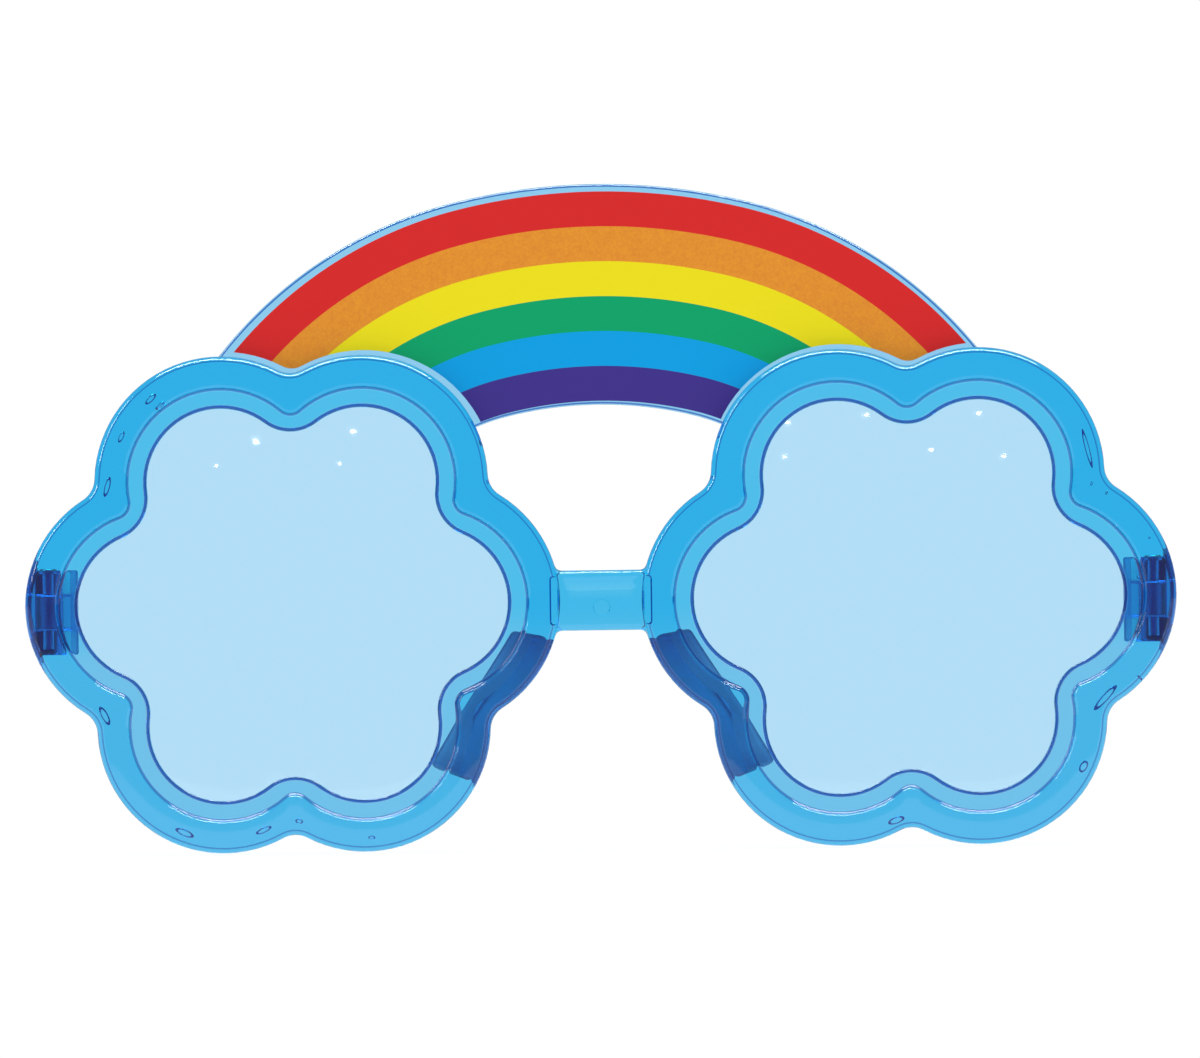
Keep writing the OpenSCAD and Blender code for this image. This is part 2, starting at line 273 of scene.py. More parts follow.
def rimBlocks(grow):
    # Both rims' outlines as plain blocks, which other pieces are cut with
    bm = bmesh.new()
    for side in (-1, 1):
        loops = [rosetteLoop(bm, rim["outer"], grow, depth, side * rim["halfSpacing"])
                 for depth in (-cutterReach, rim["ringDepth"] + cutterReach)]
        bmesh.ops.bridge_loops(bm, edges=loops[0] + loops[1])
        for loop in loops:
            bmesh.ops.contextual_create(bm, geom=loop)
    return finishMesh(bm, "rimBlocks")


# The rainbow plate and its sticker, in mm
arch = {
    "crownRadius": 84.8,
    "shoulderRadius": 60.0,
    "crownAngle": 13.8,
    "rise": 58.1,
    "plateDepth": 1.5,
    "plateRound": 0.4,
    "roundSegments": 5,
    "lineFrom": 0.3,  # where the painted dark line lies in the rounding, from the front face, in shares of the radius
    "lineTo": 0.01,
    "stripeWidth": 4.87,
    "outerMargin": 1.05,
    "innerMargin": 0.55,
    "filmThickness": 0.15,
    "inkThickness": 0.05,
    "inkSunk": 0.01,  # how far the ink starts below the film's front
    "stickerGap": 0.65,
    "stickerShift": 0.3,
    "buriedEnd": 0.6,  # how far the plate runs into the rims
    "lowestAngle": 5,
    "shoulderSteps": 60,
    "crownSteps": 24,
}
stripeNames = ("red", "orange", "yellow", "green", "blue", "violet")
plateWidth = arch["outerMargin"] + len(stripeNames) * arch["stripeWidth"] + arch["innerMargin"]


def archBand(name, outerInset, innerInset, low, high, roundness=0, paintedShadeLine=0):
    # A section of the band, spun about the right shoulder, the crown and the left shoulder
    bm = bmesh.new()
    rise = arch["crownRadius"] - arch["shoulderRadius"]
    crown = Vector((0, 0, arch["rise"] - arch["crownRadius"]))
    shoulder = crown + polar(rise, 90 - arch["crownAngle"])
    start = arch["lowestAngle"]
    corners = [(outerInset, low), (outerInset, high), (innerInset, high), (innerInset, low)]
    verts = [bm.verts.new(atDepth(shoulder + polar(arch["shoulderRadius"] - inset, start), depth))
             for inset, depth in corners]
    bm.faces.new(verts)
    if roundness:
        roundCorners(bm, verts, roundness, arch["roundSegments"])
    section = bm.verts[:] + bm.edges[:] + bm.faces[:]
    sweep = 90 - arch["crownAngle"] - start
    otherShoulder = Vector((-shoulder.x, 0, shoulder.z))
    for centre, turn, steps in ((shoulder, sweep, arch["shoulderSteps"]),
                                (crown, 2 * arch["crownAngle"], arch["crownSteps"]),
                                (otherShoulder, sweep, arch["shoulderSteps"])):
        section = spinRound(bm, section, centre, turn, steps)
    if paintedShadeLine:
        # Painted shade: a dark line on each front rounding where it meets the front face
        layer = bm.faces.layers.float.new("edgeTint")
        for face in bm.faces:
            depth = -face.calc_center_median().y
            if high - arch["lineFrom"] * roundness < depth < high - arch["lineTo"] * roundness:
                face[layer] = paintedShadeLine
    return finishMesh(bm, name)


# The bridge bar between the rims, in mm
bridge = {"height": 8.4, "thickness": 3.6, "edgeRound": 0.8, "roundSegments": 6, "fillet": 1.0,
          "filletSteps": 6, "buried": 1.5,
          "gateRadius": 1.1, "gateDepth": 0.2, "gateX": 0.1, "gateZ": -1.0, "gateLean": 0.45,
          "slotX": 6.5, "slotWidth": 0.9, "slotHeight": 6.6, "slotDepth": 0.45, "slotLean": 0.45,
          # painted shade on the slots' walls, which draws their dark outlines
          "slotPaintedShade": 1.0,
          "panelWidth": 8.2, "panelHeight": 1.0, "panelZ": 1.4, "panelDepth": 0.5, "panelLean": 1.5,
          "markSteps": 10, "markBlock": 1.0}  # steps in a quarter turn, and how thick the cutters are


def barLoop(bm, x, widen):
    # The bar's rounded section at x, as a closed loop of edges
    half, thick = bridge["height"] / 2 + widen, bridge["thickness"] / 2
    drawn = bmesh.new()
    verts = [drawn.verts.new((x, y - rim["ringDepth"] / 2, z))
             for y, z in ((-thick, -half), (-thick, half), (thick, half), (thick, -half))]
    drawn.faces.new(verts)
    roundCorners(drawn, verts, bridge["edgeRound"], bridge["roundSegments"])
    bmesh.ops.delete(drawn, geom=drawn.faces[:], context="FACES_ONLY")
    return addDrawn(bm, drawn)


def makeBridge():
    # A bar that widens into a fillet at each rim
    half, fillet, lobeRadius = bridge["height"] / 2, bridge["fillet"], rim["outer"][0]
    lobeX = rim["halfSpacing"] - rim["lobeSpread"]
    filletX = lobeX - math.sqrt((lobeRadius + fillet) ** 2 - (half + fillet) ** 2)
    touchX = lobeX + (filletX - lobeX) * lobeRadius / (lobeRadius + fillet)
    flare = []
    for i in range(bridge["filletSteps"] + 1):
        x = filletX + (touchX - filletX) * i / bridge["filletSteps"]
        flare.append((x, fillet - math.sqrt(fillet ** 2 - (x - filletX) ** 2)))
    flare.append((touchX + bridge["buried"], flare[-1][1]))
    stations = [(-x, widen) for x, widen in reversed(flare)] + flare
    bm = bmesh.new()
    for start, end in zip(stations, stations[1:]):
        band = bmesh.new()
        bmesh.ops.bridge_loops(band, edges=barLoop(band, *start) + barLoop(band, *end))
        addDrawn(bm, band)
    for x, widen in (stations[0], stations[-1]):
        cap = bmesh.new()
        bmesh.ops.contextual_create(cap, geom=barLoop(cap, x, widen))
        addDrawn(bm, cap)
    return finishMesh(bm, "bridgeBar")


def pillTool(x, z, width, height, top, depth, lean, tintAndPaintedShade=0):
    # A round-ended block with leaning walls, to cut a mark so deep into the face at the depth top
    bm = bmesh.new()
    radius, steps = min(width, height) / 2, bridge["markSteps"]
    outline = []
    for cornerX, cornerZ, start in ((1, 1, 0), (-1, 1, 90), (-1, -1, 180), (1, -1, 270)):
        centre = Vector((x + cornerX * (width / 2 - radius), 0, z + cornerZ * (height / 2 - radius)))
        outline += [centre + polar(radius, start + 90 * i / steps) for i in range(steps + 1)]
    upper = drawOut(bm, [atDepth(point, top - depth) for point in outline], (0, -bridge["markBlock"], 0))
    bmesh.ops.scale(bm, verts=upper, vec=(1 + 2 * lean / width, 1, 1 + 2 * lean / height),
                    space=Matrix.Translation((-x, 0, -z)))
    # The walls can get painted shade, so that the mark shows a dark outline
    layer = bm.faces.layers.float.new("edgeTint")
    for face in bm.faces:
        face[layer] = tintAndPaintedShade if len(face.verts) == 4 else 0  # the walls have four corners
    return finishMesh(bm, "pill")


def markBridge(bar):
    # The mark of the gate, and a panel sunk above it
    front = (rim["ringDepth"] + bridge["thickness"]) / 2
    gate = 2 * bridge["gateRadius"]
    marks = [pillTool(bridge["gateX"], bridge["gateZ"], gate, gate, front, bridge["gateDepth"],
                      bridge["gateLean"]),
             pillTool(0, bridge["panelZ"], bridge["panelWidth"], bridge["panelHeight"], front,
                      bridge["panelDepth"], bridge["panelLean"])]
    return combine(bar, marks, "DIFFERENCE")


def markRims(rims):
    # A slot in each ring where the bar runs in, with painted shade on its walls that outlines it
    slots = [pillTool(side * bridge["slotX"], 0, bridge["slotWidth"], bridge["slotHeight"], rim["ringDepth"],
                      bridge["slotDepth"], bridge["slotLean"], bridge["slotPaintedShade"]) for side in (-1, 1)]
    return combine(rims, slots, "DIFFERENCE")


# The nose pads behind the rims, in mm
nosePad = {"thickness": 2.0, "depth": 7.5, "flare": 5.3, "lowFlare": 6.5, "topAngle": 8, "bottomAngle": 46,
           "rearAngle": 50, "stations": 24, "rows": 6, "buried": 0.6, "edgeRound": 0.7, "roundAbove": 50,
           # painted shade over the whole pad, and more towards its ends over the top and bottom shares of its
           # height
           "tintAndPaintedShade": 0.4, "paintedEndShade": 0.85, "topEnd": 0.3, "bottomEnd": 0.2, "matt": 1.0}


def outlineAt(angle, radii):
    # Distance from a rim's centre to its outline, at an angle from level
    lobeRadius, hollowRadius = radii
    half = math.radians(180 / rim["lobes"])
    turn = abs((math.radians(angle) + half) % (2 * half) - half)
    reach, spread = hollowReach(lobeRadius, hollowRadius), rim["lobeSpread"]
    share = lobeRadius / (lobeRadius + hollowRadius)
    meet = math.atan2(reach * math.sin(half) * share, spread + (reach * math.cos(half) - spread) * share)
    if turn < meet:
        return spread * math.cos(turn) + math.sqrt(lobeRadius ** 2 - (spread * math.sin(turn)) ** 2)
    return reach * math.cos(half - turn) - math.sqrt(hollowRadius ** 2 - (reach * math.sin(half - turn)) ** 2)


def makeNosePad(side):
    # A wavy front edge under the ring and a straight rear edge, joined by a sheet that gets its thickness
    bm = bmesh.new()
    top, bottom, pad = nosePad["topAngle"], nosePad["bottomAngle"], nosePad["thickness"]
    ends = [polar(outlineAt(angle, rim["outer"]) - flare, -angle)
            for angle, flare in ((top, nosePad["flare"]), (nosePad["rearAngle"], nosePad["lowFlare"]))]
    rows = []
    for i in range(nosePad["stations"] + 1):
        share = i / nosePad["stations"]
        angle = top + (bottom - top) * share
        front = polar(outlineAt(angle, rim["outer"]) - nosePad["buried"] - pad / 2, -angle)
        rear = ends[0].lerp(ends[1], share)
        rows.append([bm.verts.new((rim["halfSpacing"] - point.x, y, point.z))
                     for point, y in ((front, -nosePad["buried"]), (rear, nosePad["depth"]))])
    for upper, lower in zip(rows, rows[1:]):
        bm.faces.new((upper[0], upper[1], lower[1], lower[0]))
    across = [edge for edge in bm.edges if abs(edge.verts[0].co.y - edge.verts[1].co.y) > pad]
    bmesh.ops.subdivide_edges(bm, edges=across, cuts=nosePad["rows"], use_grid_fill=True)
    if side < 0:
        bmesh.ops.scale(bm, verts=bm.verts, vec=(-1, 1, 1))
    piece = finishMesh(bm, "nosePad")
    solid = piece.modifiers.new("solid", "SOLIDIFY")
    solid.thickness, solid.offset, solid.use_even_offset = pad, 0, True
    soften(piece, nosePad["edgeRound"], above=nosePad["roundAbove"])
    # Painted shade over the whole pad
    giveFaces(piece, edgeTint=nosePad["tintAndPaintedShade"], mattTexture=nosePad["matt"])
    # Painted shade, darker towards both ends of the pad
    low, high = (pick(vert.co.z for vert in piece.data.vertices) for pick in (min, max))
    for face, mark in zip(piece.data.polygons, piece.data.attributes["edgeTint"].data):
        share = (high - face.center.z) / (high - low)
        near = max(0, 1 - share / nosePad["topEnd"], 1 - (1 - share) / nosePad["bottomEnd"])
        mark.value += (nosePad["paintedEndShade"] - nosePad["tintAndPaintedShade"]) * near
    return piece


# The hinges behind the outermost lobes, in mm
hinge = {"height": 11.8, "width": 3.6, "inset": 1.3, "drop": 0.8, "reach": 9.0, "tongueHeight": 4.7,
         "footThickness": 3.0, "ribReach": 6.0, "heelInset": 0.5, "heelReach": 6.5, "heelSteps": 16,
         "clearance": 0.1, "screwRadius": 0.7, "screwRoom": 0.05,
         "headRadius": 1.15, "headHeight": 0.7, "headPocket": 0.5, "headRound": 0.18, "shankInHead": 0.1,
         "floor": 0.8, "slot": 0.35, "edgeRound": 0.3, "barrelRound": 0.25, "fineSegments": 3, "earSteps": 10,
         "barrelSides": 64, "headSides": 48, "holeSides": 40, "buried": 0.6, "matt": 1.0}
earRadius = hinge["width"] / 2
pivotX = rim["halfSpacing"] + rim["lobeSpread"] + rim["outer"][0] - hinge["inset"] - earRadius
pivot = Vector((pivotX, hinge["reach"], -hinge["drop"]))


def cylinderTool(name, radius, low, high, sides=hinge["holeSides"]):
    # Upright on the hinge's pivot
    bm = bmesh.new()
    bmesh.ops.create_cone(bm, cap_ends=True, segments=sides, radius1=radius, radius2=radius, depth=high - low)
    bmesh.ops.translate(bm, verts=bm.verts, vec=pivot + Vector((0, 0, (low + high) / 2)))
    return finishMesh(bm, name)


def boxTool(name, low, high):
    bm = bmesh.new()
    bmesh.ops.create_cube(bm, size=1)
    bmesh.ops.scale(bm, verts=bm.verts, vec=Vector(high) - Vector(low))
    bmesh.ops.translate(bm, verts=bm.verts, vec=(Vector(high) + Vector(low)) / 2)
    return finishMesh(bm, name)


def mirrored(piece):
    # The same solid for the wearer's right
    bm = bmesh.new()
    bm.from_mesh(piece.data)
    bmesh.ops.scale(bm, verts=bm.verts, vec=(-1, 1, 1))
    name = piece.name
    bpy.data.objects.remove(piece)
    return finishMesh(bm, name)


def hingeHeel():
    # A block behind the ring that follows its outline, to fill out the lug's outer side
    lobeX = rim["halfSpacing"] + rim["lobeSpread"]
    radius, half = rim["outer"][0] - hinge["heelInset"], hinge["height"] / 2 - hinge["edgeRound"]
    bm = bmesh.new()
    outline = [(pivotX, pivot.z + half), (pivotX, pivot.z - half)]
    for i in range(hinge["heelSteps"] + 1):
        z = pivot.z - half + 2 * half * i / hinge["heelSteps"]
        outline.append((lobeX + math.sqrt(radius ** 2 - z ** 2), z))
    drawOut(bm, [(x, -hinge["buried"], z) for x, z in outline], (0, hinge["buried"] + hinge["heelReach"], 0))
    return finishMesh(bm, "heel")


def makeHingeLug(side):
    bm = bmesh.new()
    half, reach = hinge["height"] / 2, hinge["reach"]
    openingEdge = rim["halfSpacing"] + rim["lobeSpread"] + rim["opening"][0] - pivotX
    seatEdge = openingEdge + rim["seatWidth"] + hinge["buried"]
    outline = [(seatEdge, -hinge["buried"]), (earRadius, -hinge["buried"]), (earRadius, reach + earRadius),
               (0, reach + earRadius)]
    for i in range(hinge["earSteps"]):
        angle = math.radians(90 * (i + 1) / hinge["earSteps"])
        outline.append((-earRadius * math.sin(angle), reach + earRadius * math.cos(angle)))
    outline += [(-earRadius, hinge["footThickness"]), (openingEdge, hinge["footThickness"]),
                (openingEdge, plasticGap), (seatEdge, plasticGap)]
    drawOut(bm, [(pivotX + x, y, pivot.z - half) for x, y in outline], (0, 0, hinge["height"]))
    lug = finishMesh(bm, "hingeLug")
    halfTongue = hinge["tongueHeight"] / 2
    rib = boxTool("rib", (pivotX + openingEdge, hinge["footThickness"] / 2, pivot.z - halfTongue),
                  (pivotX, hinge["ribReach"], pivot.z + halfTongue))
    combine(lug, [rib], "UNION")
    slot = halfTongue + hinge["clearance"]
    front = reach - earRadius - hinge["clearance"]
    gap = boxTool("gap", (pivotX - hinge["width"], front, pivot.z - slot),
                  (pivotX + hinge["width"], reach + hinge["width"], pivot.z + slot))
    combine(lug, [gap], "DIFFERENCE")
    soften(lug, hinge["edgeRound"])
    combine(lug, [hingeHeel()], "UNION")
    room = hinge["screwRadius"] + hinge["screwRoom"]
    hole = cylinderTool("hole", room, hinge["floor"] - half, half + cutterReach)
    pocket = cylinderTool("pocket", hinge["headRadius"] + hinge["clearance"], half - hinge["headPocket"],
                          half + cutterReach)
    combine(lug, [hole, pocket], "DIFFERENCE")
    giveFaces(lug, mattTexture=hinge["matt"])
    return lug if side > 0 else mirrored(lug)


def soften(piece, width, segments=4, above=meshing["roundAbove"]):
    # Rounds the edges that turn by more than so many degrees
    bevel = piece.modifiers.new("soft", "BEVEL")
    bevel.width, bevel.segments = width, segments
    bevel.limit_method, bevel.angle_limit = "ANGLE", math.radians(above)
    applyModifiers(piece)


def keepFlat(piece):
    # Flat faces keep a flat normal beside the rounded edges
    piece.data.set_sharp_from_angle(angle=math.radians(meshing["smoothBelow"]))
    weighted = piece.modifiers.new("flat", "WEIGHTED_NORMAL")
    weighted.keep_sharp = True
    weighted.weight = meshing["flatWeight"]
    applyModifiers(piece)


def placeInFrame(piece):
    bm = bmesh.new()
    bm.from_mesh(piece.data)
    bmesh.ops.triangulate(bm, faces=[face for face in bm.faces if len(face.verts) > 4])
    bmesh.ops.dissolve_degenerate(bm, edges=bm.edges, dist=meshing["collapseBelow"])
    toFrame(bm)
    for face in bm.faces:
        face.smooth = True
        face.material_index = 0
    bm.to_mesh(piece.data)
    bm.free()
    keepFlat(piece)
    return piece


# Air bubbles caught in the rings: side, angle round the rim, distance from its centre, length, width and turn
bubbles = (
    (-1, 124, 34.8, 2.0, 0.8, 44), (-1, 123, 33.4, 1.7, 0.4, 41), (-1, 135, 33.4, 1.7, 0.7, 64),
    (-1, 147, 30.6, 2.9, 0.8, 75), (-1, -150, 30.5, 2.9, 1.0, -63), (-1, -116, 35.3, 2.8, 1.0, -24),
    (-1, -98, 31.8, 2.4, 0.8, 24), (-1, -89, 30.3, 1.1, 0.7, -11), (-1, -72, 34.4, 1.0, 0.6, -1),
    (1, 39, 32.3, 5.7, 0.7, -76), (1, 31, 29.9, 0.6, 0.3, 69), (1, 27, 31.1, 0.6, 0.3, 69),
    (1, 13, 34.5, 0.4, 0.3, 0), (1, 4, 32.0, 0.4, 0.3, 0), (1, -20, 33.9, 0.6, 0.3, -46),
    (1, -28, 30.8, 4.7, 1.0, 47), (1, -45, 34.0, 1.8, 1.1, 59), (1, -94, 31.3, 2.4, 1.0, 19),
)
# Their depth, their thickness, the share of their width inside the painted dark rim, and the parts of the
# sphere
bubbleForm = {"depth": 2.6, "thickness": 0.35, "clearShare": 0.7, "segments": 20, "rings": 12}


def addBubbles(piece):
    # Hollows inside the plastic, so their faces point inwards
    bm = bmesh.new()
    bm.from_mesh(piece.data)
    bm.faces.layers.float.new("airWall")
    for side, angle, radius, length, width, turn in bubbles:
        bubble = bmesh.new()
        bmesh.ops.create_uvsphere(bubble, u_segments=bubbleForm["segments"], v_segments=bubbleForm["rings"],
                                  radius=0.5)
        bmesh.ops.rotate(bubble, verts=bubble.verts, matrix=Matrix.Rotation(math.radians(90), 3, "X"))
        bubble.faces.layers.float.new("edgeTint")
        air = bubble.faces.layers.float.new("airWall")
        tintAndPaintedShade = bubble.faces.layers.float["edgeTint"]  # looked up here, because the second layer moves it
        for face in bubble.faces:
            middle = face.calc_center_median()
            face[air] = 1
            # A painted dark rim outlines each bubble
            atRim = math.hypot(middle.x, middle.z) > bubbleForm["clearShare"] / 2
            face[tintAndPaintedShade] = edgeTint["bubbleEdge"] if atRim else 0
        bmesh.ops.scale(bubble, verts=bubble.verts, vec=(length, bubbleForm["thickness"], width))
        bmesh.ops.rotate(bubble, verts=bubble.verts, matrix=Matrix.Rotation(math.radians(-turn), 3, "Y"))
        place = Vector((side * rim["halfSpacing"], 0, 0)) + polar(radius, angle)
        bmesh.ops.translate(bubble, verts=bubble.verts, vec=atDepth(place, bubbleForm["depth"]))
        bmesh.ops.reverse_faces(bubble, faces=bubble.faces)
        addDrawn(bm, bubble)
    bm.to_mesh(piece.data)
    bm.free()


def makeFrontFrame():
    bm = bmesh.new()
    for side in (-1, 1):
        sweepProfile(bm, rimProfile(), side * rim["halfSpacing"])
    front = markRims(finishMesh(bm, "frontFrame"))
    plate = archBand("plate", 0, plateWidth, plasticGap, arch["plateDepth"], arch["plateRound"],
                     edgeTint["plateLine"])
    combine(plate, [rimBlocks(-arch["buriedEnd"])], "DIFFERENCE")
    parts = [plate, markBridge(makeBridge())]
    for side in (-1, 1):
        parts += [makeNosePad(side), makeHingeLug(side)]
    combine(front, parts, "UNION")
    addBubbles(front)
    print("front frame moulded")
    return placeInFrame(front)


# The flat lenses, in mm
lens = {"thickness": 1.0, "clearance": 0.05, "edgeRound": 0.12, "edgeSteps": 3}


def makeLens(name, side):
    bm = bmesh.new()
    grow = rim["seatWidth"] - lens["clearance"]
    front, rear = lensRecess + lens["thickness"] - plasticGap, lensRecess
    rounding = list(quarterRound(lens["edgeRound"], lens["edgeSteps"]))
    profile = [("opening", grow - along, rear + inward, 0) for along, inward in rounding]
    profile += [("opening", grow - along, front - inward, 0) for inward, along in rounding]
    sweepProfile(bm, profile, side * rim["halfSpacing"], closed=False)
    return placeInFrame(finishMesh(bm, name))


# The folding temples, in mm
temple = {"thickness": 3.2, "length": 134.0, "waistAt": 92.0, "waistHeight": 7.4, "tipRadius": 4.8,
          "tipDrop": 1.0, "edgeRound": 0.7, "roundSegments": 5, "tipSteps": 14, "neckBuried": 1.0}


def makeTemple(name, side):
    bm = bmesh.new()
    shoulder = earRadius + hinge["clearance"]
    tipY = temple["length"] - temple["tipRadius"]
    halfHeight, halfWaist = hinge["height"] / 2, temple["waistHeight"] / 2
    outline = [(shoulder, -halfHeight), (temple["waistAt"], -halfWaist)]
    for i in range(temple["tipSteps"] + 1):
        angle = math.radians(-90 + 180 * i / temple["tipSteps"])
        outline.append((tipY + temple["tipRadius"] * math.cos(angle),
                        temple["tipRadius"] * math.sin(angle) - temple["tipDrop"]))
    outline += [(temple["waistAt"], halfWaist), (shoulder, halfHeight)]
    inner = earRadius - temple["thickness"]
    drawOut(bm, [(inner, y, z) for y, z in outline], (temple["thickness"], 0, 0))
    bmesh.ops.translate(bm, verts=bm.verts, vec=pivot)
    arm = finishMesh(bm, name)
    soften(arm, temple["edgeRound"], temple["roundSegments"])
    halfTongue, barrelRadius = hinge["tongueHeight"] / 2, earRadius - hinge["clearance"]
    barrel = cylinderTool("barrel", barrelRadius, -halfTongue, halfTongue, hinge["barrelSides"])
    neck = boxTool("neck", pivot + Vector((inner, 0, -halfTongue)),
                   pivot + Vector((barrelRadius, shoulder + temple["neckBuried"], halfTongue)))
    combine(barrel, [neck], "UNION")
    soften(barrel, hinge["barrelRound"], hinge["fineSegments"])
    giveFaces(barrel, mattTexture=hinge["matt"])
    combine(arm, [barrel], "UNION")
    hole = cylinderTool("hole", hinge["screwRadius"] + hinge["screwRoom"], -halfHeight, halfHeight)
    combine(arm, [hole], "DIFFERENCE")
    return placeInFrame(arm if side > 0 else mirrored(arm))


def makeScrew(name, side):
    half = hinge["height"] / 2
    top = half - hinge["headPocket"]
    shank = cylinderTool(name, hinge["screwRadius"], hinge["floor"] - half, top + hinge["shankInHead"])
    head = cylinderTool("head", hinge["headRadius"], top, top + hinge["headHeight"], hinge["headSides"])
    soften(head, hinge["headRound"], hinge["fineSegments"])
    slotTop = pivot.z + top + hinge["headHeight"]
    halfLength, halfWidth = 2 * hinge["headRadius"], hinge["slot"] / 2
    slot = boxTool("slot", (pivotX - halfLength, pivot.y - halfWidth, slotTop - hinge["slot"]),
                   (pivotX + halfLength, pivot.y + halfWidth, slotTop + cutterReach))
    combine(head, [slot], "DIFFERENCE")
    combine(shank, [head], "UNION")
    return placeInFrame(shank if side > 0 else mirrored(shank))


def makeSticker():
    # One printed film, cut to follow the rims, with a thin layer of ink for each colour
    filmLow = arch["plateDepth"] - plasticGap
    filmHigh = arch["plateDepth"] + arch["filmThickness"]
    first, last = arch["outerMargin"], arch["outerMargin"] + len(stripeNames) * arch["stripeWidth"]
    bands = [archBand("stickerFilm", first, last, filmLow, filmHigh)]
    for i, name in enumerate(stripeNames):
        outer = first + i * arch["stripeWidth"]
        bands.append(archBand(name + "Stripe", outer, outer + arch["stripeWidth"],
                              filmHigh - arch["inkSunk"], filmHigh + arch["inkThickness"]))
    for band in bands:
        combine(band, [rimBlocks(arch["stickerGap"])], "DIFFERENCE")
        keepMiddle(band)
        for vert in band.data.vertices:
            vert.co.x += arch["stickerShift"]
        placeInFrame(band)
    print("sticker cut and printed")
    return bands


def keepMiddle(piece):
    # The cut leaves scraps inside the rims' outlines, and only the part over the middle is the sticker
    bm = bmesh.new()
    bm.from_mesh(piece.data)
    top = max(bm.verts, key=lambda vert: vert.co.z)
    kept = {vert for edge in connectedEdges(top) for vert in edge.verts}
    bmesh.ops.delete(bm, geom=[vert for vert in bm.verts if vert not in kept], context="VERTS")
    bm.to_mesh(piece.data)
    bm.free()


# Materials
def toLinear(hexColour):
    # sRGB hex to the linear colour that shaders use
    channels = [int(hexColour[i:i + 2], 16) / 255 for i in (0, 2, 4)]
    return tuple(c / 12.92 if c <= 0.04045 else ((c + 0.055) / 1.055) ** 2.4 for c in channels) + (1,)


def newMaterial(name):
    material = bpy.data.materials.new(name)
    material.use_nodes = True
    material.node_tree.nodes.clear()
    return material, material.node_tree


def addNode(tree, kind, settings=None, links=None):
    node = tree.nodes.new(kind)
    for name, value in (settings or {}).items():
        if isinstance(name, int) or name in node.inputs:
            node.inputs[name].default_value = value
        else:
            setattr(node, name, value)
    for name, source in (links or {}).items():
        tree.links.new(source, node.inputs[name])
    return node


def addNoise(tree, place, size, detail):
    # Noise that stays on the piece, with features of a size in metres
    return addNode(tree, "ShaderNodeTexNoise", {"Scale": 1 / size, "Detail": detail},
                   {"Vector": place.outputs["Object"]})


def addBump(tree, relief, height):
    # Relief is a strength and a distance in metres
    return addNode(tree, "ShaderNodeBump", {"Strength": relief[0], "Distance": relief[1]},
                   {"Height": height.outputs["Fac"]})


# How much a millimetre of a tint takes out of red, green and blue light, and what any wall of it lets
# through. The moulding is paler below the rims' middles, and changes between two heights in metres.
mouldedTintAndPaintedShade = {"perMillimetre": (0.90, 0.097, 0.018), "paler": (0.62, 0.083, 0.018), "palerFrom": 0.034,
               "palerTo": 0.027, "mattRoughness": 0.4, "wall": (1.0, 0.69, 0.88, 1),
               # the colour of the painted shade along the moulding's edges
               "edge": (0.012, 0.05, 0.34, 1)}
lensTint = {"perMillimetre": (0.81, 0.149, 0.015), "wall": (1.0, 0.85, 0.95, 1)}
# The surface that all clear pieces have, and how the moulding's rounded edges waver, with sizes in metres
styrene = {"ior": 1.57, "swellSize": 0.009, "swellDetail": 1.0, "swellRelief": (0.08, 0.00003),
           "marksSize": 0.004, "marksDetail": 3.0, "marksRoughness": 0.035,
           "waverSize": 0.005, "waverDetail": 0.0, "waverDistance": 0.0003, "fullWaverAt": 0.2}


